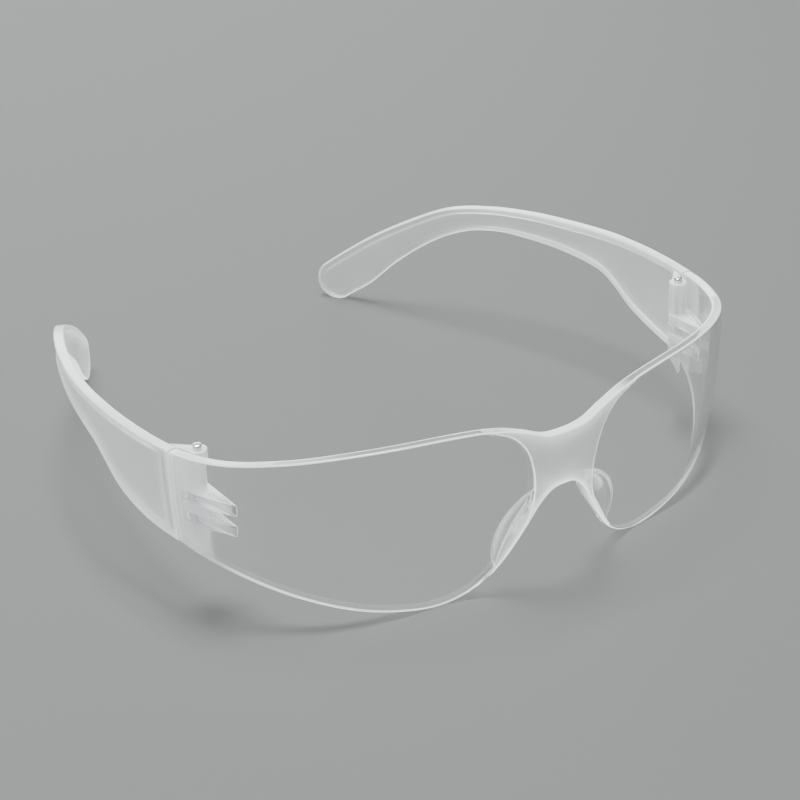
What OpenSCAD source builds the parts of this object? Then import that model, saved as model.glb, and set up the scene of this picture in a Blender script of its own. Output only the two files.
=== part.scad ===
// Clear one-lens wraparound safety glasses, open, resting on the two lens lobes and the two arm tips.
// +X is the wearer's left, +Y runs back along the arms, +Z is up, all in millimetres.
// The origin is on the ground, under the middle of the whole object.

/* [Lens] */
// Radius of the front of the lens, seen from above
front_r = 150; // [146:1:156]
// Angle from the middle to where the front arc becomes the side arc
front_angle = 12.5; // [12:0.5:13]
// Radius of the sides of the lens, seen from above
side_r = 48; // [47:0.5:49]
// Angle from the middle to the rear end of the lens
wrap_angle = 80; // [79:0.5:81]
// Wall thickness of the lens
lens_t = 2.2; // [2:0.1:2.3]
// Radius of the lens from top to bottom
rise_r = 134; // [120:2:150]
// Height of the nose pads behind the lens
pad_h = 3.3; // [2.6:0.1:3.6]
// Rise of the nose edge from the front of the lens to the back of the pads, which flares it outwards
nose_flare = 2.1; // [1.2:0.1:2.4]

/* [Temples] */
// Radius of the arm's inward bow, seen from above
bow_r = 125; // [120:1:130]
// Angle through which the arm bows
bow_angle = 42; // [40:1:44]
// Thickness of the arm at its rim
arm_t = 2.4; // [2.2:0.1:2.6]
// Depth of the flat panel below the rim, on the arm's inner face
panel_d = 0.5; // [0.3:0.1:0.6]
// Width of the raised rim
rim_w = 1.5; // [1.2:0.1:1.8]

/* [Hinges] */
// Distance from the lens's outer end corner in to the pin
pin_in = 5.35; // [5.25:0.05:5.45]
// Distance from the lens's end forward to the pin
pin_forward = 2.1; // [2:0.1:2.3]
// Radius of the steel pin
pin_r = 0.95; // [0.9:0.05:1]
// Radius of the knuckles round the pin
knuckle_r = 2; // [1.9:0.05:2.05]
// Thickness of each lug on the lens
lug_h = 2.6; // [2.4:0.1:2.8]
// Height by which the pin stands above the hinge
pin_stand = 1.2; // [1:0.1:1.6]

/* [Hidden] */
$fn = 64;

half_depth = 77.5;                      // from the front of the lens to the origin
bore_play = 0.05;                       // radial clearance of a knuckle on the pin
press = 0.02;                           // radial interference of a lug on the pin
end_gap = 0.25;                         // between the lens's end and the arm
slot_play = 0.15;                       // above and below each lug
lug_z = [21.3, 26.3];                   // undersides of the two lugs
hinge_z = [13.8, 36.7];                 // bottom and top of the arm's hinge block
pin_z = [17.8, hinge_z[1] + pin_stand];

// Outlines as [distance along the lens from its middle, height]
lens_top = [[0, 36.4], [5, 36.9], [10, 39.1], [16, 41.2], [24, 42.4], [36, 42.9], [48, 42.3],
            [62, 40.4], [76, 38.2], [90, 37]];
lens_bottom = [[0, 23.5], [3, 23], [6, 20.2], [9, 15.2], [12, 10.4], [15, 6.4], [18, 3.6], [22, 1.3],
               [28, 0], [36, 0.9], [48, 3.4], [62, 7.7], [76, 12.3], [90, 16.2]];
bow_z = 42;                             // height at which the lens stands furthest forward
side_lean = 0.1;                        // how far the lens's sides lean out towards the top
pad_centre = [3.7, 11.8];               // the nose pads' outline is a circle on the lens
pad_r = 12.7;
pad_step = 0.5;                         // the pad rises at once by this much, then slopes to pad_h
pad_slope = 5.5;                        // width of the slope

// Ribs of the arm: [distance along the arm, height] of the top edge, then of the bottom edge
ribs = [[[0, 37.2], [0, 15.6]], [[9, 37], [9, 16.4]], [[17, 36.8], [17, 18.1]],
        [[23, 36.6], [22.5, 20.2]], [[29, 36.4], [28, 23.6]], [[35, 36], [33.5, 25.9]],
        [[45, 35.3], [44, 27.1]], [[57, 34.5], [56, 27.6]], [[70, 33.1], [67, 27.4]],
        [[82, 30.7], [77, 25.4]], [[93, 25.9], [87, 20.7]], [[104, 19.9], [97, 13.6]],
        [[113, 13.9], [105, 6.3]], [[119.4, 9.2], [111.8, 1.6]]];
tip_centre = (ribs[len(ribs) - 1][0] + ribs[len(ribs) - 1][1]) / 2;
tip_r = norm(ribs[len(ribs) - 1][0] - ribs[len(ribs) - 1][1]) / 2;
tip_slope = -45;                        // direction of the arm at its tip
panel_start = 4.6;                      // where the recessed panel begins behind the hinge
lean_fade = 60;                         // the arm loses the lens's lean over this length

// Plan of the lens: the front arc, then the tighter side arc
front_length = front_r * front_angle * PI / 180;
lens_end = front_length + side_r * (wrap_angle - front_angle) * PI / 180;
side_centre = [(front_r - side_r) * sin(front_angle), front_r - (front_r - side_r) * cos(front_angle)];
corner = side_centre + side_r * [sin(wrap_angle), -cos(wrap_angle)];
pin_xy = corner + [-pin_in, -pin_forward];

function smooth(t) = let (c = min(1, max(0, t))) c * c * (3 - 2 * c);
function turn(s) = s < front_length ? s / front_r * 180 / PI
    : front_angle + (s - front_length) / side_r * 180 / PI;
function plan(s) = let (a = turn(s))
    s < front_length ? front_r * [sin(a), 1 - cos(a)] : side_centre + side_r * [sin(a), -cos(a)];

// Smooth curve through points [x, y] with rising x, level at its first point
function slope(p, i) = i == 0 ? 0
    : i == len(p) - 1 ? (p[i][1] - p[i - 1][1]) / (p[i][0] - p[i - 1][0])
    : (p[i + 1][1] - p[i - 1][1]) / (p[i + 1][0] - p[i - 1][0]);
function span_of(p, x, i = 0) = i == len(p) - 2 || x <= p[i + 1][0] ? i : span_of(p, x, i + 1);
function curve(p, x) = let (i = span_of(p, x), h = p[i + 1][0] - p[i][0], t = (x - p[i][0]) / h)
    (2 * t ^ 3 - 3 * t ^ 2 + 1) * p[i][1] + (t ^ 3 - 2 * t ^ 2 + t) * h * slope(p, i)
    + (3 * t ^ 2 - 2 * t ^ 3) * p[i + 1][1] + (t ^ 3 - t ^ 2) * h * slope(p, i + 1);

// How far the lens lies inside its plan line at a height
function set_back(s, z) = (z - bow_z) ^ 2 / (2 * rise_r) + side_lean * (s / lens_end) ^ 2 * (z - bow_z);
// Point on the lens at distance s, height z and depth d behind the front surface
function lens_point(s, z, d) = let (a = turn(abs(s)), b = set_back(abs(s), z) + d, p = plan(abs(s)))
    [sign(s) * (p[0] - sin(a) * b), p[1] + cos(a) * b, z];
// Height of the nose pad: a small step at its outline, then a slope up to the nose edge; none on the bridge
function pad(s, z) = let (inside = pad_r - norm([abs(s), z] - pad_centre))
    (pad_step * smooth(inside / 0.8) + (pad_h - pad_step) * smooth(inside / pad_slope))
    * smooth((abs(s) - 5.5) / 2.5);
// How much higher the nose edge is on the back of the lens
function flare(s) = nose_flare * smooth((abs(s) - 5) / 3) * (1 - smooth((abs(s) - 12.5) / 3.5));

// Closed solid through rings of points: the sides, then the first and last ring
module loft(rings) {
    n = len(rings[0]);
    sides = [for (i = [0:len(rings) - 2], j = [0:n - 1]) let (k = (j + 1) % n)
        [i * n + j, i * n + k, (i + 1) * n + k, (i + 1) * n + j]];
    first = [for (j = [n - 1:-1:0]) j];
    last = [for (j = [0:n - 1]) (len(rings) - 1) * n + j];
    polyhedron([for (ring = rings) each ring], [each sides, first, last], convexity = 8);
}

// The lens shell, as one strip of cells in front, one behind, and the edges between them
module shell(columns = 42, rows = 14) {
    n = rows + 1;
    along = [for (i = [-columns:columns]) sign(i) * lens_end * pow(abs(i) / columns, 1.4)];
    function height(s, j, lift) = let (low = curve(lens_bottom, abs(s)) + lift)
        low + (curve(lens_top, abs(s)) - low) * j / rows;
    loft([for (s = along)
        [for (j = [0:rows]) lens_point(s, height(s, j, 0), 0),
         for (j = [rows:-1:0]) let (z = height(s, j, flare(s))) lens_point(s, z, lens_t + pad(s, z))]]);
}

module at_pin() {
    translate([pin_xy[0], pin_xy[1], 0]) children();
}

// Flat gusset from the lens's inner surface back to the pin
module lug(z) {
    inner = pin_xy[0] - knuckle_r;
    translate([0, 0, z]) linear_extrude(lug_h) union() {
        translate(pin_xy) circle(knuckle_r);
        intersection() {
            translate(side_centre) circle(side_r - 0.8, $fn = 180);
            translate([inner, pin_xy[1] - side_r]) square(side_r);
        }
    }
}

module side_lugs() {
    difference() {
        union() for (z = lug_z) lug(z);
        at_pin() cylinder(r = pin_r - press, h = 60);
    }
}

module lens() {
    color([0.85, 0.92, 0.95, 0.4]) translate([0, -half_depth, 0]) {
        shell();
        side_lugs();
        mirror([1, 0, 0]) side_lugs();
    }
}

// Plan of the arm: it starts along the lens's end, bows inwards, then runs straight
bow_length = bow_r * bow_angle * PI / 180;
arm_start = corner + end_gap * [cos(wrap_angle), sin(wrap_angle)];
function heading(l) = 90 - wrap_angle - min(l, bow_length) / bow_r * 180 / PI;
function arm_plan(l) = let (a = heading(l), a0 = 90 - wrap_angle)
    arm_start + bow_r * [cos(a) - cos(a0), sin(a0) - sin(a)] + max(0, l - bow_length) * [sin(a), cos(a)];
function arm_point(l, z, d) = let (a = heading(l), p = arm_plan(l),
        b = d + set_back(lens_end, z) * max(0, 1 - l / lean_fade))
    [p[0] - b * cos(a), p[1] + b * sin(a), z];

// Rib at a real-valued place in the list, as a smooth curve through its neighbours
function rib(t) = let (i = min(floor(t), len(ribs) - 2), u = t - i,
        a = ribs[max(0, i - 1)], b = ribs[i], c = ribs[i + 1], d = ribs[min(len(ribs) - 1, i + 2)])
    0.5 * (2 * b + (c - a) * u + (2 * a - 5 * b + 4 * c - d) * u ^ 2 + (3 * b - a - 3 * c + d) * u ^ 3);
// Rib of the round tip, at an angle from 0 at its start to 90 at its end
function tip_rib(a) = let (along = [cos(tip_slope), sin(tip_slope)], across = [-along[1], along[0]],
        c = tip_centre + tip_r * sin(a) * along)
    [c + tip_r * cos(a) * across, c - tip_r * cos(a) * across];

// Cross-section of the arm along one rib: rounded rim all round, and a panel sunk into the inner face
function section(r, sunk) = let (size = norm(r[0] - r[1]), k = min(1, size / (2 * rim_w + 3)),
        e = 0.7 * k, w = rim_w * k, s = panel_d * sunk,
        edge = [[0, 0.7], [0.2 * k, 0.2], [e, 0]],
        back = [[e, arm_t], [0.2 * k, arm_t - 0.2], [0, arm_t - 0.7]],
        half = [edge[2], edge[1], edge[0], back[2], back[1], back[0], [w, arm_t], [w + 0.4 * k, arm_t - s]])
    [for (q = half) concat(r[0] + (r[1] - r[0]) * q[0] / size, q[1]),
     for (i = [len(half) - 1:-1:0]) concat(r[1] + (r[0] - r[1]) * half[i][0] / size, half[i][1])];

module arm_blade(steps = 4, tip_steps = 8) {
    count = (len(ribs) - 1) * steps;
    body = [for (i = [0:count]) let (r = rib(i / steps))
        section(r, smooth((r[0][0] - panel_start) / 0.8 + 0.5))];
    tip = [for (i = [1:tip_steps]) let (a = 87 * i / tip_steps)
        section(tip_rib(a), smooth((tip_r * (1 - sin(a)) - rim_w) / 0.5))];
    loft([for (ring = [each body, each tip]) [for (q = ring) arm_point(q[0], q[1], q[2])]]);
}

// Hinge block on the arm: the knuckles round the pin and the web that joins them to the blade
module hinge_block() {
    difference() {
        translate([0, 0, hinge_z[0]]) linear_extrude(hinge_z[1] - hinge_z[0]) union() {
            translate(pin_xy) circle(knuckle_r);
            polygon([pin_xy + [-knuckle_r, 0], pin_xy + [knuckle_r, 0], corner + [-2.6, 0.7],
                corner + [-1.2, 1.2], corner + [-0.7, 4.2], corner + [-2.1, 3.2]]);
        }
        // the lower end narrows towards the lens, and rises from the pin to the blade
        translate([pin_xy[0], pin_xy[1] + 20, 0]) rotate([90, 0, 0]) linear_extrude(40)
            polygon([[-4, 10], [-4, 22], [-2.1, 20.6], [-0.3, 13.8], [-0.3, 10]]);
        translate([pin_xy[0] + 20, pin_xy[1], 0]) rotate([90, 0, -90]) linear_extrude(40)
            polygon([[-9, 10], [-9, 18], [-1.5, 16.2], [1, 13.8], [1, 10]]);
        for (z = lug_z) translate([0, 0, z - slot_play]) at_pin() {
            cylinder(r = knuckle_r + 0.35, h = lug_h + 2 * slot_play);
            translate([-8, -8, 0]) cube([12, 8, lug_h + 2 * slot_play]);
            translate([-8, -8, 0]) cube([8, 8 + knuckle_r + 0.2, lug_h + 2 * slot_play]);
        }
        translate([0, 0, pin_z[0] - 0.2]) at_pin() cylinder(r = pin_r + bore_play, h = 60);
    }
}

module temple() {
    translate([0, -half_depth, 0]) {
        arm_blade();
        hinge_block();
    }
}

module temple_left() {
    color([0.88, 0.9, 0.9, 0.7]) temple();
}

module temple_right() {
    color([0.88, 0.9, 0.9, 0.7]) mirror([1, 0, 0]) temple();
}

// Plain drive pin with bevelled ends
module hinge_pin() {
    bevel = 0.25;
    translate([0, -half_depth, 0]) at_pin() rotate_extrude()
        polygon([[0, pin_z[0]], [pin_r - bevel, pin_z[0]], [pin_r, pin_z[0] + bevel],
            [pin_r, pin_z[1] - bevel], [pin_r - bevel, pin_z[1]], [0, pin_z[1]]]);
}

module hinge_pin_left() {
    color([0.72, 0.72, 0.74]) hinge_pin();
}

module hinge_pin_right() {
    color([0.72, 0.72, 0.74]) mirror([1, 0, 0]) hinge_pin();
}

lens();
temple_right();
temple_left();
hinge_pin_right();
hinge_pin_left();
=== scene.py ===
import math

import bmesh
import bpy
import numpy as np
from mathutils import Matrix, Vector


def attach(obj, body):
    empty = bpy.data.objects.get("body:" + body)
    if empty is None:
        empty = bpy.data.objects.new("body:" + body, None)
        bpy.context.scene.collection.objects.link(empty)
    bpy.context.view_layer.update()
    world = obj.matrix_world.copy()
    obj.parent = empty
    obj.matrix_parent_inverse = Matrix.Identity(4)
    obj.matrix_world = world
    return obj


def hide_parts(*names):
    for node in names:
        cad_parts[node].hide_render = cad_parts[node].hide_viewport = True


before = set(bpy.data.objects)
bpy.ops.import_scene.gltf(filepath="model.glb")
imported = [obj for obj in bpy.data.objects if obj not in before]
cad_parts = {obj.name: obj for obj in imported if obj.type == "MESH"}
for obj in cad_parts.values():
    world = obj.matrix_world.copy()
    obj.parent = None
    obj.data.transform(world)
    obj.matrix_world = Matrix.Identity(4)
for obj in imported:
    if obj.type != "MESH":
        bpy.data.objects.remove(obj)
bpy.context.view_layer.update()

# Clear wraparound safety glasses: the looks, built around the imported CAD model.
#
# The lens, the two arms and the hinge pins are rebuilt as fine meshes on the same surfaces as the CAD
# nodes, with the moulded details: the frosted raised bridge, the nose pads, the arms' raised rims and
# sunk panels, the hinge knuckles and the lugs. Lengths are in millimetres until a mesh is made, and in
# the CAD's frame: +X to the wearer's left, +Y back along the arms, +Z up, the floor at zero.

MM = 0.001
HALF_DEPTH = 77.5                       # from the front of the lens to the frame's origin

# ---------------------------------------------------------------- the lens's surface
FRONT_R, SIDE_R = 150.0, 48.0           # radii seen from above: the front, then the sides
FRONT_ANGLE, WRAP_ANGLE = math.radians(12.5), math.radians(80)
RISE_R, BOW_Z, SIDE_LEAN = 134.0, 42.0, 0.1
LENS_T = 2.2
FRONT_LENGTH = FRONT_R * FRONT_ANGLE
LENS_END = FRONT_LENGTH + SIDE_R * (WRAP_ANGLE - FRONT_ANGLE)
SIDE_CENTRE = np.array([(FRONT_R - SIDE_R) * math.sin(FRONT_ANGLE),
                        FRONT_R - (FRONT_R - SIDE_R) * math.cos(FRONT_ANGLE)])
CORNER = SIDE_CENTRE + SIDE_R * np.array([math.sin(WRAP_ANGLE), -math.cos(WRAP_ANGLE)])

# Outlines: (distance along the lens from its middle, height)
LENS_TOP = [(0, 36.4), (5, 36.9), (10, 39.1), (16, 41.2), (24, 42.4), (36, 42.9), (48, 42.3),
            (62, 40.4), (76, 38.2), (90, 37)]
LENS_BOTTOM = [(0, 23.5), (3, 23), (6, 20.2), (9, 15.2), (12, 10.4), (15, 6.4), (18, 3.6), (22, 1.3),
               (28, 0), (36, 0.9), (48, 3.4), (62, 7.7), (76, 12.3), (90, 16.2)]
# The frosted bridge: (height, half width of the frosted area along the lens)
BRIDGE_EDGE = [(4, 16.9), (9, 13.9), (13, 11.4), (16.5, 9.3), (19.5, 8.3), (24, 7.8), (28, 8.1),
               (32, 9), (35, 10.2), (38, 12.5), (40, 15.2), (42, 20.5), (43, 25)]
BRIDGE_H, BRIDGE_STEP = 0.3, 0.5        # how far the bridge stands proud, and the width of its step
PAD_CENTRE, PAD_R = (3.7, 11.8), 12.7   # a nose pad's round outline
PAD_STEP, PAD_H = 0.5, 3.3              # a pad's height at its outline and at the nose edge
PAD_SLOPE = 5.5                         # the distance from the outline over which it rises
NOSE_FLARE = 2.1                        # how much higher the nose edge lies on the back of the pads
FOOT_Z = 0.012                          # the lowest point of the lens, as in the CAD
FAR = 9.0                               # far enough from a moulding line for it to have no effect

# ---------------------------------------------------------------- the arms
BOW_R, BOW_ANGLE = 125.0, math.radians(42)
ARM_T, PANEL_D, RIM_W = 2.4, 0.5, 1.5
# Ribs across the arm: (distance along it, height) of the top end, then of the bottom end
RIBS = [((0, 37.2), (0, 15.6)), ((9, 37), (9, 16.4)), ((17, 36.8), (17, 18.1)),
        ((23, 36.6), (22.5, 20.2)), ((29, 36.4), (28, 23.6)), ((35, 36), (33.5, 25.9)),
        ((45, 35.3), (44, 27.1)), ((57, 34.5), (56, 27.6)), ((70, 33.1), (67, 27.4)),
        ((82, 30.7), (77, 25.4)), ((93, 25.9), (87, 20.7)), ((104, 19.9), (97, 13.6)),
        ((113, 13.9), (105, 6.3)), ((119.4, 9.2), (111.8, 1.6))]
TIP_SLOPE, ARM_LENGTH = math.radians(-45), 120
PANEL_START, LEAN_FADE, END_GAP = 4.6, 60.0, 0.25

# ---------------------------------------------------------------- the hinges
PIN = CORNER + np.array([-5.35, -2.1])  # the pin's axis in plan
KNUCKLE_R, PIN_R, BORE_R = 2.0, 0.95, 1.0
LUG_Z, LUG_H, SLOT_PLAY = (21.3, 26.3), 2.6, 0.15
HINGE_Z = (13.8, 36.7)                  # bottom and top of the hinge block
PIN_Z = (17.8, 37.9)                    # bottom and top of the pin
LUG_LOOKS = {"frost": 0.15, "milk_and_highlights": 0.85}
# The hinge's whiteness is partly milky plastic and partly painted light; on the slot walls cut with it, it
# is painted glints.
HINGE_WHITE_AND_GLINTS = {"frost": 0.3, "milk_and_highlights": 1.0}


def smooth(t):
    """0 up to t = 0, 1 from t = 1, with a level start and end between."""
    c = np.clip(t, 0, 1)
    return c * c * (3 - 2 * c)


def curve(points, x):
    """Smooth curve through points with rising x, level at its first point."""
    p = np.array(points, float)
    m = np.zeros(len(p))
    m[1:-1] = (p[2:, 1] - p[:-2, 1]) / (p[2:, 0] - p[:-2, 0])
    m[-1] = (p[-1, 1] - p[-2, 1]) / (p[-1, 0] - p[-2, 0])
    x = np.asarray(x, float)
    i = np.clip(np.searchsorted(p[:, 0], x, side="right") - 1, 0, len(p) - 2)
    h = p[i + 1, 0] - p[i, 0]
    t = (x - p[i, 0]) / h
    return ((2 * t**3 - 3 * t**2 + 1) * p[i, 1] + (t**3 - 2 * t**2 + t) * h * m[i]
            + (3 * t**2 - 2 * t**3) * p[i + 1, 1] + (t**3 - t**2) * h * m[i + 1])


def set_back(s, z):
    """How far the lens lies inside its plan line at a height."""
    return (z - BOW_Z) ** 2 / (2 * RISE_R) + SIDE_LEAN * (s / LENS_END) ** 2 * (z - BOW_Z)


def lens_point(s, z, d):
    """Points on the lens: distance s from the middle, height z, depth d behind the front surface."""
    s, z, d = np.broadcast_arrays(np.asarray(s, float), np.asarray(z, float), np.asarray(d, float))
    w = np.abs(s)
    a = np.where(w < FRONT_LENGTH, w / FRONT_R, FRONT_ANGLE + (w - FRONT_LENGTH) / SIDE_R)
    x = np.where(w < FRONT_LENGTH, FRONT_R * np.sin(a), SIDE_CENTRE[0] + SIDE_R * np.sin(a))
    y = np.where(w < FRONT_LENGTH, FRONT_R * (1 - np.cos(a)), SIDE_CENTRE[1] - SIDE_R * np.cos(a))
    b = set_back(w, z) + d
    return np.stack([np.sign(s) * (x - np.sin(a) * b), y + np.cos(a) * b - HALF_DEPTH, z], -1)


def bridge_inset(s, z):
    """Distance inside the frosted bridge's outline, negative outside it."""
    edge = curve(BRIDGE_EDGE, z)
    slope = (curve(BRIDGE_EDGE, z + 0.1) - curve(BRIDGE_EDGE, z - 0.1)) / 0.2
    return (edge - np.abs(s)) / np.sqrt(1 + slope**2)


def bridge(s, z):
    """1 inside the frosted bridge, 0 outside, with a smooth step between."""
    return smooth(bridge_inset(s, z) / BRIDGE_STEP + 0.5)


def pad_inset(s, z):
    """Distance inside the nose pad's round outline, negative outside it."""
    return PAD_R - np.hypot(np.abs(s) - PAD_CENTRE[0], z - PAD_CENTRE[1])


def pad(s, z):
    """Height of the nose pad: a small step at its outline, then a gentle rise to the nose edge."""
    inset = pad_inset(s, z)
    height = PAD_STEP * smooth(inset / 0.6) + (PAD_H - PAD_STEP) * smooth(inset / PAD_SLOPE)
    return height * smooth((np.abs(s) - 5.5) / 2.5)


# ---------------------------------------------------------------- mesh helpers
def new_mesh(name, verts, faces, values=None):
    """An object from points in millimetres, with float attributes on its points."""
    mesh = bpy.data.meshes.new(name)
    mesh.from_pydata((np.asarray(verts) * MM).tolist(), [], faces)
    for key, value in (values or {}).items():
        mesh.attributes.new(key, "FLOAT", "POINT").data.foreach_set("value", np.asarray(value, np.float32))
    mesh.validate()
    obj = bpy.data.objects.new(name, mesh)
    bpy.context.scene.collection.objects.link(obj)
    bm = bmesh.new()
    bm.from_mesh(mesh)
    bmesh.ops.recalc_face_normals(bm, faces=bm.faces)
    bm.to_mesh(mesh)
    bm.free()
    return obj


def loft(name, rings, values=None):
    """A closed solid through rings of the same number of points."""
    n, m = len(rings), len(rings[0])
    faces = []
    for i in range(n - 1):
        for j in range(m):
            k = (j + 1) % m
            faces.append((i * m + j, i * m + k, (i + 1) * m + k, (i + 1) * m + j))
    faces.append(tuple(range(m))[::-1])
    faces.append(tuple((n - 1) * m + j for j in range(m)))
    return new_mesh(name, np.concatenate(rings), faces, values)


def prism(name, outline, z0, z1, frost=0.0, milk_and_highlights=0.0):
    """An upright prism on a plan outline."""
    low = [(x, y, z0) for x, y in outline]
    high = [(x, y, z1) for x, y in outline]
    values = {"frost": frost, "milk_and_highlights": milk_and_highlights, "bridge_highlight_line": FAR, "pad_highlight_line": FAR}
    return loft(name, [np.array(low), np.array(high)],
                {key: np.full(2 * len(low), value) for key, value in values.items()})


def circle(centre, r, n=64):
    """Plan points on a circle."""
    a = np.arange(n) * 2 * math.pi / n
    return np.stack([centre[0] + r * np.cos(a), centre[1] + r * np.sin(a)], -1)


def combine(obj, others, operation):
    """Applies an exact boolean with each other object, and removes those."""
    for other in others:
        modifier = obj.modifiers.new("cut", "BOOLEAN")
        modifier.operation = operation
        modifier.solver = "EXACT"
        modifier.object = other
    graph = bpy.context.evaluated_depsgraph_get()
    mesh = bpy.data.meshes.new_from_object(obj.evaluated_get(graph))
    obj.modifiers.clear()
    obj.data = mesh
    for other in others:
        bpy.data.objects.remove(other)
    return obj


def shade(obj, degrees=32):
    """Smooth shading, with sharp edges above an angle."""
    obj.data.shade_smooth()
    obj.data.set_sharp_from_angle(angle=math.radians(degrees))


def row(xy):
    """Turns a plan point measured from the front of the lens into one in the frame."""
    return np.asarray(xy, float) - np.array([0, HALF_DEPTH])


# ---------------------------------------------------------------- materials
LINE_W = (0.1, 0.24)                    # half width of a painted highlight on a moulding line: its white core, its soft border


def node(tree, kind, x, y, **inputs):
    """A shader node with numbers or colours set on its sockets."""
    made = tree.nodes.new(kind)
    made.location = (x, y)
    for key, value in inputs.items():
        made.inputs[key.replace("_", " ")].default_value = value
    return made


def attribute(tree, name, x, y):
    """A float stored on the mesh's points."""
    made = tree.nodes.new("ShaderNodeAttribute")
    made.attribute_name = name
    made.location = (x, y)
    return made.outputs["Fac"]


def ramp(tree, source, low, high, x, y, start=0.0, end=1.0):
    """A value that goes from low to high while the source goes from start to end."""
    made = tree.nodes.new("ShaderNodeMapRange")
    made.location = (x, y)
    made.inputs["From Min"].default_value = start
    made.inputs["From Max"].default_value = end
    made.inputs["To Min"].default_value = low
    made.inputs["To Max"].default_value = high
    tree.links.new(source, made.inputs["Value"])
    return made.outputs["Result"]


def math_node(tree, operation, x, y, *sources):
    """A calculation on sockets or numbers."""
    made = tree.nodes.new("ShaderNodeMath")
    made.operation = operation
    made.location = (x, y)
    for socket, source in zip(made.inputs, sources):
        if isinstance(source, (int, float)):
            socket.default_value = source
        else:
            tree.links.new(source, socket)
    return made.outputs[0]


def moulded(name, tint, rough, milky, lines=()):
    """Moulded polycarbonate. Its "frost" attribute roughens it, and its whiteness attribute makes it whiter.

    rough is the roughness where it is clear and where it is frosted, and milky is how much of the
    transmission full whiteness takes away. The whiteness is the plastic's milkiness, and on the edges,
    moulding lines and hinges it also holds painted highlights, painted glow and painted glints. lines are
    attributes that hold the distance from a moulding line, each with the whiteness of the painted highlight
    along it. Shadow rays pass with a tint that gets darker with whiteness.
    """
    material = bpy.data.materials.new(name)
    material.use_nodes = True
    tree = material.node_tree
    tree.nodes.clear()
    link = tree.links.new
    out = node(tree, "ShaderNodeOutputMaterial", 1100, 0)
    mix = node(tree, "ShaderNodeMixShader", 900, 0)
    light = node(tree, "ShaderNodeLightPath", 600, 300)
    open_to_lamps = node(tree, "ShaderNodeBsdfTransparent", 600, -500)
    body = node(tree, "ShaderNodeBsdfPrincipled", 400, 0, Base_Color=(*tint, 1), IOR=1.56)
    frost = attribute(tree, "frost", -1100, 100)
    milk_and_highlights = attribute(tree, "milk_and_highlights", -1100, -100)
    # Each moulding line adds a painted highlight to the whiteness.
    for i, (key, painted_highlight) in enumerate(lines):
        y = -700 - 200 * i
        away = math_node(tree, "ABSOLUTE", -1100, y, attribute(tree, key, -1300, y))
        line = ramp(tree, away, painted_highlight, 0.0, -900, y, start=LINE_W[0], end=LINE_W[1])
        milk_and_highlights = math_node(tree, "MAXIMUM", -700, y, milk_and_highlights, line)
    place = tree.nodes.new("ShaderNodeTexCoord")
    place.location = (-1100, -300)
    grain = node(tree, "ShaderNodeTexNoise", -900, -300, Scale=2600.0, Detail=2.0, Roughness=0.6)
    waves = node(tree, "ShaderNodeTexNoise", -900, -500, Scale=110.0, Detail=3.0, Roughness=0.55)
    link(place.outputs["Object"], grain.inputs["Vector"])
    link(place.outputs["Object"], waves.inputs["Vector"])
    clouds = ramp(tree, waves.outputs["Fac"], 0.84, 1.16, -650, -500, start=0.25, end=0.75)
    speckle = ramp(tree, grain.outputs["Fac"], 0.9, 1.1, -650, -300, start=0.3, end=0.7)
    milk_and_highlights = math_node(tree, "MULTIPLY", -500, -200, milk_and_highlights, clouds)
    milk_and_highlights = math_node(tree, "MULTIPLY", -400, -300, milk_and_highlights, speckle)
    roughness = ramp(tree, frost, rough[0], rough[1], -400, 150)
    roughness = math_node(tree, "MULTIPLY", -200, 150, roughness, clouds)
    link(roughness, body.inputs["Roughness"])
    link(ramp(tree, milk_and_highlights, 1.0, 1.0 - milky, -150, -100), body.inputs["Transmission Weight"])
    bump = node(tree, "ShaderNodeBump", 100, -300, Distance=0.00004)
    link(ramp(tree, frost, 0.0, 0.5, -150, -400), bump.inputs["Strength"])
    link(grain.outputs["Fac"], bump.inputs["Height"])
    link(bump.outputs["Normal"], body.inputs["Normal"])
    glow = node(tree, "ShaderNodeBsdfTranslucent", 400, -250, Color=(*tint, 1))
    link(bump.outputs["Normal"], glow.inputs["Normal"])
    lit = node(tree, "ShaderNodeMixShader", 700, 100)
    link(ramp(tree, milk_and_highlights, 0.0, 0.5, 200, 200), lit.inputs["Fac"])
    link(body.outputs["BSDF"], lit.inputs[1])
    link(glow.outputs["BSDF"], lit.inputs[2])
    link(ramp(tree, milk_and_highlights, 0.97, 0.35, 400, -500), open_to_lamps.inputs["Color"])
    link(light.outputs["Is Shadow Ray"], mix.inputs["Fac"])
    link(lit.outputs["Shader"], mix.inputs[1])
    link(open_to_lamps.outputs["BSDF"], mix.inputs[2])
    link(mix.outputs["Shader"], out.inputs["Surface"])
    return material


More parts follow.
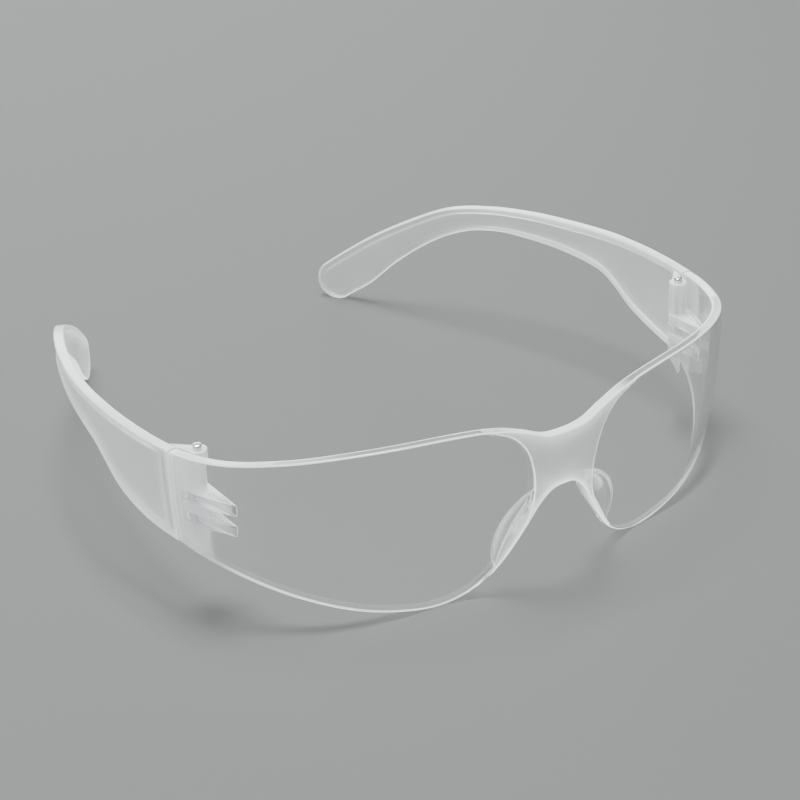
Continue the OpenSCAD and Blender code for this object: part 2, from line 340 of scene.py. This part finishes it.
def steel():
    """Bright drawn steel with fine turning lines."""
    material = bpy.data.materials.new("pin_steel")
    material.use_nodes = True
    tree = material.node_tree
    body = tree.nodes["Principled BSDF"]
    body.inputs["Metallic"].default_value = 1.0
    place = tree.nodes.new("ShaderNodeTexCoord")
    rings = tree.nodes.new("ShaderNodeMapping")
    rings.inputs["Scale"].default_value = (1.0, 1.0, 14.0)
    lines = node(tree, "ShaderNodeTexNoise", -600, 0, Scale=900.0, Detail=3.0, Roughness=0.6)
    tree.links.new(place.outputs["Object"], rings.inputs["Vector"])
    tree.links.new(rings.outputs["Vector"], lines.inputs["Vector"])
    tone = tree.nodes.new("ShaderNodeValToRGB")
    tone.color_ramp.elements[0].color = (0.5, 0.5, 0.51, 1)
    tone.color_ramp.elements[1].color = (0.78, 0.78, 0.79, 1)
    tree.links.new(lines.outputs["Fac"], tone.inputs["Fac"])
    tree.links.new(tone.outputs["Color"], body.inputs["Base Color"])
    tree.links.new(ramp(tree, lines.outputs["Fac"], 0.16, 0.36, -350, -200), body.inputs["Roughness"])
    bump = node(tree, "ShaderNodeBump", -200, -400, Strength=0.3, Distance=0.00002)
    tree.links.new(lines.outputs["Fac"], bump.inputs["Height"])
    tree.links.new(bump.outputs["Normal"], body.inputs["Normal"])
    return material


# ---------------------------------------------------------------- the lens
ROWS = 120                              # cells from the bottom edge to the top edge, on each face
CORNER_R, CORNER_STEPS = 0.3, 3         # the rounding of the lens's edges
EDGE_W = 0.25                           # the width of the painted highlight line beside a rounding
# The points of an edge: 1 on the rounding and its painted highlight line, 0 between the two lines
ROUNDED = np.array([1] * (CORNER_STEPS - 1) + [1, 0, 0, 1] + [1] * (CORNER_STEPS - 1))
# The stretches of a ring
FRONT = slice(0, ROWS + 1)
TOP = slice(FRONT.stop, FRONT.stop + len(ROUNDED))
BACK = slice(TOP.stop, TOP.stop + ROWS + 1)
BOTTOM = slice(BACK.stop, BACK.stop + len(ROUNDED))
RING = BOTTOM.stop
EDGE_HIGHLIGHT = 0.95                       # whiteness of the painted highlight lines
END_HIGHLIGHTS = [(0, 1), (0.4, 0.9), (0.8, 0.5), (1.1, 0.55), (1.4, 0.8), (1.8, 0)]  # painted highlight lines at the lens's end, by distance from the end
HAZE_LENGTH = 10                        # the hazy last stretch of the lens's back


def spread(*stretches):
    """Rising values over stretches of (start, end, spacing), each start the end before it."""
    parts = [np.linspace(a, b, max(2, round((b - a) / gap) + 1))[:-1] for a, b, gap in stretches]
    return np.concatenate([*parts, [stretches[-1][1]]])


def lens_stations():
    """Distances along the lens for its rings, and how far each ring is drawn in at the rounded ends."""
    side = spread((0, 5, 0.3), (5, 17, 0.17), (17, 27, 0.32), (27, LENS_END - 2, 0.8),
                  (LENS_END - 2, LENS_END - CORNER_R, 0.2))
    turns = np.linspace(0, math.pi / 2, CORNER_STEPS + 1)[1:]
    side = np.concatenate([side, LENS_END - CORNER_R * (1 - np.sin(turns))])
    drawn_in = np.zeros(len(side))
    drawn_in[-CORNER_STEPS:] = CORNER_R * (1 - np.cos(turns))
    return np.concatenate([-side[:0:-1], side]), np.concatenate([drawn_in[:0:-1], drawn_in])


def lens_ring(s, drawn_in):
    """One ring at a distance along the lens: its lowest and highest z, and its points' z and depth."""
    low = max(float(curve(LENS_BOTTOM, abs(s))), FOOT_Z) + drawn_in
    high = curve(LENS_TOP, abs(s)) - drawn_in
    flare = NOSE_FLARE * float(smooth((abs(s) - 5) / 3) * (1 - smooth((abs(s) - 12.5) / 3.5)))
    low_back = low + flare
    v = np.linspace(0, 1, ROWS + 1)
    z = low + CORNER_R + (high - low - 2 * CORNER_R) * v
    z_back = low_back + CORNER_R + (high - low_back - 2 * CORNER_R) * v
    front = -BRIDGE_H * bridge(s, z) + drawn_in
    back = LENS_T + pad(s, z_back) - drawn_in
    turn = np.linspace(0, math.pi / 2, CORNER_STEPS + 1)[1:-1]
    fall = CORNER_R * (1 - np.cos(turn))
    across = np.array([CORNER_R, CORNER_R + EDGE_W])
    top_z = high - CORNER_R + CORNER_R * np.sin(turn)
    low_turn = CORNER_R - CORNER_R * np.sin(turn)
    low_d = np.concatenate([back[0] - across, front[0] + across[::-1]])
    low_flat = low_back - flare * (back[0] - low_d) / (back[0] - front[0])
    ring_z = np.concatenate([
        z, top_z, [high] * 4, top_z[::-1], z_back[::-1], low_back + low_turn, low_flat,
        low + low_turn[::-1]])
    ring_d = np.concatenate([
        front, front[-1] + fall, front[-1] + across, back[-1] - across[::-1], back[-1] - fall[::-1],
        back[::-1], back[0] - fall, low_d, front[0] + fall[::-1]])
    return low, high, ring_z, ring_d


def painted_edge_highlights(s):
    """Painted highlight lines along the rounded edges all round the lens, with a fainter painted glow
    between them.
    """
    toward_end = float(smooth((abs(s) - 45) / 15))
    top_glow = 0.17 + 0.25 * toward_end
    low_glow = 0.1 + 0.6 * float(smooth((abs(s) - 17) / 6)) + 0.2 * toward_end
    painted_highlight = np.zeros(RING)
    painted_highlight[TOP] = top_glow + (EDGE_HIGHLIGHT - top_glow) * ROUNDED
    painted_highlight[BOTTOM] = low_glow + (EDGE_HIGHLIGHT - low_glow) * ROUNDED
    return np.maximum(painted_highlight, float(curve(END_HIGHLIGHTS, min(LENS_END - abs(s), END_HIGHLIGHTS[-1][0]))))


def lens_looks(s, low, high, z, d):
    """How frosted and milky a ring's points are, with the painted highlights and glow, and their distances
    from the moulding lines.
    """
    in_front = 1 - smooth((d - 0.4) / 0.8)   # the bridge is frosted in front and on its top edge
    in_front[TOP] = 1
    inside = bridge(s, z) * smooth((21 - abs(s)) / 10) * in_front
    upper = smooth((z - 15) / 10)
    # Near its top and bottom edges the bridge gets whiter: a painted glow.
    rise = np.exp(-(high - z) / 1.5) + np.exp(-(z - low) / 1.8)
    # The edges and the end get painted highlight lines, with a fainter painted glow between them.
    edge = painted_edge_highlights(s)
    haze = smooth((abs(s) - LENS_END + HAZE_LENGTH) / 2) * smooth((d - 0.6 * LENS_T) / 0.3)
    faint = 0.012 + 0.02 * smooth((abs(s) - 62) / 20)
    frost = np.maximum(inside * (0.4 + 0.6 * upper), np.maximum(0.15 * edge, 0.5 * haze))
    milk_and_highlights = np.maximum(inside * (0.04 + 0.06 * upper + 0.75 * rise),
                      np.maximum(edge, np.maximum(0.55 * haze, faint)))
    # Painted highlight lines run along the bridge's outline on the front and the pads' outline on the back.
    bridge_highlight_line = np.full(RING, FAR)
    bridge_highlight_line[FRONT] = np.clip(bridge_inset(s, z[FRONT]) - 0.2, -FAR, FAR)
    pad_highlight_line = np.full(RING, FAR)
    pad_highlight_line[BACK] = np.clip(pad_inset(s, z[BACK]), -FAR, FAR)
    return {"frost": frost, "milk_and_highlights": milk_and_highlights, "bridge_highlight_line": bridge_highlight_line, "pad_highlight_line": pad_highlight_line}


def lens_shell():
    """The shell, one closed ring for each distance along it, with rounded edges all round."""
    rings, looks = [], []
    for s, drawn_in in zip(*lens_stations()):
        low, high, z, d = lens_ring(s, drawn_in)
        rings.append(lens_point(s, z, d))
        looks.append(lens_looks(s, low, high, z, d))
    return loft("lens_body", rings, {key: np.concatenate([look[key] for look in looks]) for key in looks[0]})


def lug_outline(side):
    """Plan of a lug: from the lens's inside back to the knuckle round the pin."""
    centre, pin = row(SIDE_CENTRE), row(PIN)
    r = SIDE_R - 0.8
    inner = PIN[0] - KNUCKLE_R
    start = math.acos((inner - centre[0]) / r)
    stop = math.asin((centre[1] - pin[1]) / r)
    arc = [(centre[0] + r * math.cos(a), centre[1] - r * math.sin(a)) for a in np.linspace(start, stop, 24)]
    knuckle = [(pin[0] + KNUCKLE_R * math.cos(a), pin[1] + KNUCKLE_R * math.sin(a))
               for a in np.linspace(0, math.pi, 33)]
    return np.array(arc + knuckle) * (side, 1)


def lens():
    """The shell with its hinge lugs and their pin holes."""
    body = lens_shell()
    lugs, holes = [], []
    for side in (-1, 1):
        for z in LUG_Z:
            lug = prism("lug", lug_outline(side), z, z + LUG_H, **LUG_LOOKS)
            rounding = lug.modifiers.new("round", "BEVEL")
            rounding.width = 0.18 * MM
            rounding.segments = 2
            rounding.limit_method = "ANGLE"
            rounding.angle_limit = math.radians(50)
            lugs.append(combine(lug, [], "UNION"))
        holes.append(prism("hole", circle(row(PIN) * (side, 1), PIN_R + 0.02), 15, 45))
    combine(body, lugs, "UNION")
    combine(body, holes, "DIFFERENCE")
    shade(body)
    return body


# ---------------------------------------------------------------- the arms
def arm_plan(l):
    """Plan position and direction at a distance along the arm: a bow, then a straight."""
    bow = np.minimum(l, BOW_R * BOW_ANGLE)
    a0 = math.pi / 2 - WRAP_ANGLE
    a = a0 - bow / BOW_R
    x0, y0 = CORNER + END_GAP * np.array([math.cos(WRAP_ANGLE), math.sin(WRAP_ANGLE)])
    x = x0 + BOW_R * (np.cos(a) - math.cos(a0)) + np.maximum(0, l - BOW_R * BOW_ANGLE) * np.sin(a)
    y = y0 + BOW_R * (math.sin(a0) - np.sin(a)) + np.maximum(0, l - BOW_R * BOW_ANGLE) * np.cos(a)
    return x, y, a


def arm_point(l, z, d):
    """Points on the arm: distance l along it, height z, depth d behind its outer face."""
    x, y, a = arm_plan(l)
    b = d + set_back(LENS_END, z) * np.maximum(0, 1 - l / LEAN_FADE)
    return np.stack([x - b * np.cos(a), y + b * np.sin(a) - HALF_DEPTH, z], -1)


def rib(t):
    """Top and bottom edge of the arm at a real-valued place in RIBS, on a smooth curve."""
    p = np.array(RIBS, float)
    i = min(int(t), len(p) - 2)
    u = t - i
    a, b, c, d = p[max(0, i - 1)], p[i], p[i + 1], p[min(len(p) - 1, i + 2)]
    return 0.5 * (2 * b + (c - a) * u + (2 * a - 5 * b + 4 * c - d) * u**2 + (3 * b - a - 3 * c + d) * u**3)


def tip_rib(a):
    """Top and bottom edge in the round tip, at an angle from its start."""
    last = np.array(RIBS[-1], float)
    r = np.linalg.norm(last[0] - last[1]) / 2
    along = np.array([math.cos(TIP_SLOPE), math.sin(TIP_SLOPE)])
    across = np.array([-along[1], along[0]])
    c = last.mean(0) + r * math.sin(a) * along
    return np.array([c + r * math.cos(a) * across, c - r * math.cos(a) * across])


def half_section(k, sunk):
    """Half of the arm's cross-section, from the outer face round the top edge to the inner panel."""
    r = 0.45
    turn = np.linspace(0, math.pi / 2, 6)
    outer = [(RIM_W + 2.2, 0.14), (RIM_W + 0.55, 0.14), (RIM_W + 0.3, 0.1), (RIM_W, 0.03), (RIM_W - 0.25, 0)]
    edge = [(r - r * math.sin(a), r - r * math.cos(a)) for a in turn]
    back = [(r - r * math.cos(a), ARM_T - r + r * math.sin(a)) for a in turn]
    depth = PANEL_D * sunk
    inner = [(RIM_W - 0.1, ARM_T), (RIM_W + 0.1, ARM_T - 0.12 * depth), (RIM_W + 0.3, ARM_T - 0.6 * depth),
             (RIM_W + 0.5, ARM_T - 0.92 * depth), (RIM_W + 0.8, ARM_T - depth), (RIM_W + 2.2, ARM_T - depth)]
    return [(w * k, d) for w, d in outer + edge + back + inner]


def section(ends, sunk):
    """The cross-section between two rib ends, and each point's distance from the arm's edge."""
    size = np.linalg.norm(ends[0] - ends[1])
    k = min(1, size / (2 * RIM_W + 5.2))
    half = half_section(k, sunk)
    to_low = (ends[1] - ends[0]) / size
    top = [(*(ends[0] + to_low * w), d) for w, d in half]
    low = [(*(ends[1] - to_low * w), d) for w, d in half[::-1]]
    from_edge = [w / k for w, d in half]
    return np.array(top + low), np.array(from_edge + from_edge[::-1])


def fade(l):
    """How deep the sunk panel is at a place along the arm: shallower toward the tip."""
    return 1 - 0.75 * smooth((l - 45) / 45)


def arm_blade(side, steps=14, tip_steps=26):
    """The arm's plate: rings at even steps from rib to rib, then round the tip."""
    places = []
    for i in range((len(RIBS) - 1) * steps + 1):
        ends = rib(i / steps)
        l = ends[0][0]
        places.append((ends, smooth((l - PANEL_START) / 0.8 + 0.5) * fade(l)))
    r = np.linalg.norm(ends[0] - ends[1]) / 2
    for i in range(1, tip_steps + 1):
        a = math.radians(88.5) * i / tip_steps
        sunk = smooth((r * (1 - math.sin(a)) - RIM_W) / 0.5)
        places.append((tip_rib(a), sunk * fade(ARM_LENGTH)))
    rings, frost, milk_and_highlights = [], [], []
    for ends, sunk in places:
        ring, w = section(ends, sunk)
        l, z, d = ring.T
        rings.append(arm_point(l, z, d) * (side, 1, 1))
        inner = smooth((d - 1.2) / 0.4)
        past_hinge = smooth((l - PANEL_START + 0.2) / 0.6)
        # The rims' whiteness is painted highlight lines along the arm's edges, fading along the inner rim
        # and less white across the middle of the top edge.
        inner_rim_highlight = (1 - smooth((w - RIM_W + 0.2) / 0.6)) * (1 - smooth((l - 45) / 45))
        outer_edge_highlight = 1 - smooth((w - 0.1) / 0.35)
        rim = np.where(d > 1.2, np.maximum(inner_rim_highlight, outer_edge_highlight), outer_edge_highlight)
        rim = rim * (1 - 0.35 * (np.abs(d - 0.5 * ARM_T) < 0.5))
        # A painted highlight line on the arm's front end.
        front = 1 - smooth((l - 0.3) / 0.5)
        frost.append(1 - 0.85 * rim)
        panel = 0.19 - 0.17 * smooth(l / 80) + 0.68 * inner * (1 - past_hinge)
        milk_and_highlights.append(panel + (0.95 - panel) * np.maximum(rim, front))
    return loft("arm", rings, {"frost": np.concatenate(frost), "milk_and_highlights": np.concatenate(milk_and_highlights)})


def hinge_block(side):
    """The knuckles round the pin and the web that joins them to the blade."""
    pin, corner = row(PIN), row(CORNER)
    centre = pin * (side, 1)
    web = np.array([pin + (-KNUCKLE_R, 0), pin + (KNUCKLE_R, 0), corner + (-2.6, 0.7), corner + (-1.2, 1.2),
                    corner + (-0.7, 4.2), corner + (-2.1, 3.2)]) * (side, 1)
    block = prism("block", web, *HINGE_Z, **HINGE_WHITE_AND_GLINTS)
    barrel = prism("barrel", circle(centre, KNUCKLE_R, 72), *HINGE_Z, **HINGE_WHITE_AND_GLINTS)
    combine(block, [barrel], "UNION")
    inner_taper = [(-4, 10), (-4, 22), (-2.1, 20.6), (-0.3, 13.8), (-0.3, 10)]
    narrow = loft("narrow", [np.array([(side * (pin[0] + x), pin[1] + y, z) for x, z in inner_taper])
                             for y in (-20, 20)])
    back_taper = [(9, 10), (9, 18), (1.5, 16.2), (-1, 13.8), (-1, 10)]
    rise = loft("rise", [np.array([(side * (pin[0] + x), pin[1] + y, z) for y, z in back_taper])
                         for x in (-20, 20)])
    cutters = [narrow, rise, prism("bore", circle(centre, BORE_R, 48), PIN_Z[0] - 0.2, 60)]
    # The slots' cutters carry the hinge's whiteness onto the slot walls: painted glints at the slots.
    for z in LUG_Z:
        low, high = z - SLOT_PLAY, z + LUG_H + SLOT_PLAY
        cutters.append(prism("slot", circle(centre, KNUCKLE_R + 0.35, 72), low, high, **HINGE_WHITE_AND_GLINTS))
        for x0, x1, y0, y1 in ((-8, 4, -8, 0), (-8, 0, -8, KNUCKLE_R + 0.2)):
            corners = [(x0, y0), (x1, y0), (x1, y1), (x0, y1)]
            cutters.append(prism("slot", (pin + corners) * (side, 1), low, high, **HINGE_WHITE_AND_GLINTS))
    return combine(block, cutters, "DIFFERENCE")


def arm(side):
    """The plate with its hinge block."""
    blade = arm_blade(side)
    combine(blade, [hinge_block(side)], "UNION")
    shade(blade, 30)
    return blade


# ---------------------------------------------------------------- the pins
def hinge_pin(side):
    """A turned pin with a slightly domed head and a groove below it."""
    top = PIN_Z[1]
    profile = [(PIN_R - 0.25, PIN_Z[0]), (PIN_R, PIN_Z[0] + 0.25), (PIN_R, top - 0.75),
               (PIN_R - 0.07, top - 0.7), (PIN_R - 0.07, top - 0.62), (PIN_R, top - 0.57),
               (PIN_R, top - 0.22), (PIN_R - 0.06, top - 0.12), (PIN_R - 0.2, top - 0.05), (0.4, top)]
    pin = row(PIN) * (side, 1)
    made = loft("pin", [np.array([(x, y, z) for x, y in circle(pin, r, 48)]) for r, z in profile])
    shade(made, 25)
    return made


# ---------------------------------------------------------------- studio
FLOOR_R = 1.25                          # metres, like the places and sizes below
CAMERA_ANGLES = (-33, 28, -2.5)         # azimuth, elevation and roll, in degrees
CAMERA_TARGET, CAMERA_DISTANCE = Vector((17.9, 12.2, 0)) * MM, 0.525
# Softboxes: name, place, width and height, watts
SOFTBOXES = [("key", (-0.02, 0.26, 1.4), (0.7, 0.6), 72),
             ("back", (0.5, 1.4, 0.4), (1.4, 0.5), 14),
             ("front_left", (-1.5, -0.3, 0.4), (1.2, 0.5), 12),
             ("front_right", (0.4, -1.5, 0.4), (1.2, 0.5), 11)]
LIGHTS_AIM = Vector((0, 0, 0.02))


def camera():
    """The camera looks from the front right of the wearer, from above, with a slight roll."""
    azimuth, elevation, roll = (math.radians(angle) for angle in CAMERA_ANGLES)
    forward = Vector((-math.sin(azimuth) * math.cos(elevation), math.cos(azimuth) * math.cos(elevation),
                      -math.sin(elevation)))
    right = Vector((math.cos(azimuth), math.sin(azimuth), 0))
    up = right.cross(forward)
    rolled = right * math.cos(roll) + up * math.sin(roll)
    rolled_up = up * math.cos(roll) - right * math.sin(roll)
    data = bpy.data.cameras.new("camera")
    data.sensor_width = 36
    data.lens = 95.5
    data.clip_start, data.clip_end = 0.01, 20
    made = bpy.data.objects.new("camera", data)
    place = Matrix.Translation(CAMERA_TARGET - forward * CAMERA_DISTANCE)
    made.matrix_world = place @ Matrix((rolled, rolled_up, -forward)).transposed().to_4x4()
    bpy.context.scene.collection.objects.link(made)
    bpy.context.scene.camera = made


def softbox(name, place, size, power):
    """A rectangular area light aimed at the glasses."""
    data = bpy.data.lights.new(name, "AREA")
    data.shape = "RECTANGLE"
    data.size, data.size_y = size
    data.energy = power
    made = bpy.data.objects.new(name, data)
    made.location = place
    made.rotation_mode = "QUATERNION"
    made.rotation_quaternion = (Vector(place) - LIGHTS_AIM).to_track_quat("Z", "Y")
    bpy.context.scene.collection.objects.link(made)


def studio():
    """An even sky, the softboxes and a plain round floor."""
    world = bpy.data.worlds.new("studio")
    world.use_nodes = True
    sky = world.node_tree.nodes["Background"]
    sky.inputs["Color"].default_value = (0.93, 0.96, 1.0, 1)
    sky.inputs["Strength"].default_value = 0.5
    bpy.context.scene.world = world
    for name, place, size, power in SOFTBOXES:
        softbox(name, place, size, power)
    mesh = bpy.data.meshes.new("floor")
    rim = [(x, y, 0) for x, y in circle((0, 0), FLOOR_R, 96)]
    mesh.from_pydata(rim, [], [tuple(range(len(rim)))])
    floor = bpy.data.objects.new("floor", mesh)
    bpy.context.scene.collection.objects.link(floor)
    material = bpy.data.materials.new("floor_paint")
    material.use_nodes = True
    body = material.node_tree.nodes["Principled BSDF"]
    body.inputs["Base Color"].default_value = (0.085, 0.088, 0.087, 1)
    body.inputs["Roughness"].default_value = 0.7
    body.inputs["Specular IOR Level"].default_value = 0.2
    mesh.materials.append(material)


def place_piece(obj, name, body, slot, node_name, material):
    """Names a piece, dresses it and puts it on its body in place of its CAD node.

    Bounced light passes the plastic as if it weren't there, so that it doesn't darken the floor.
    """
    obj.name = name
    obj.visible_diffuse = slot == "pin"
    obj.data.materials.clear()
    obj.data.materials.append(material)
    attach(obj, body)
    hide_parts(node_name)


camera()
studio()
# The lens's material paints a highlight line along the bridge's outline and a fainter one along the pads'.
clear = moulded("lens_polycarbonate", (0.985, 0.995, 1.0), (0.01, 0.42), 0.85,
                (("bridge_highlight_line", 0.95), ("pad_highlight_line", 0.3)))
frosted = moulded("arm_polycarbonate", (0.94, 0.96, 0.96), (0.06, 0.42), 0.85)
bright_steel = steel()
place_piece(lens(), "lens_shell", "front", "lens", "lens", clear)
for side, word in ((-1, "right"), (1, "left")):
    place_piece(arm(side), "arm_" + word, word + "_temple", "temple", "temple_" + word, frosted)
    place_piece(hinge_pin(side), "pin_" + word, "front", "pin", "hinge_pin_" + word, bright_steel)
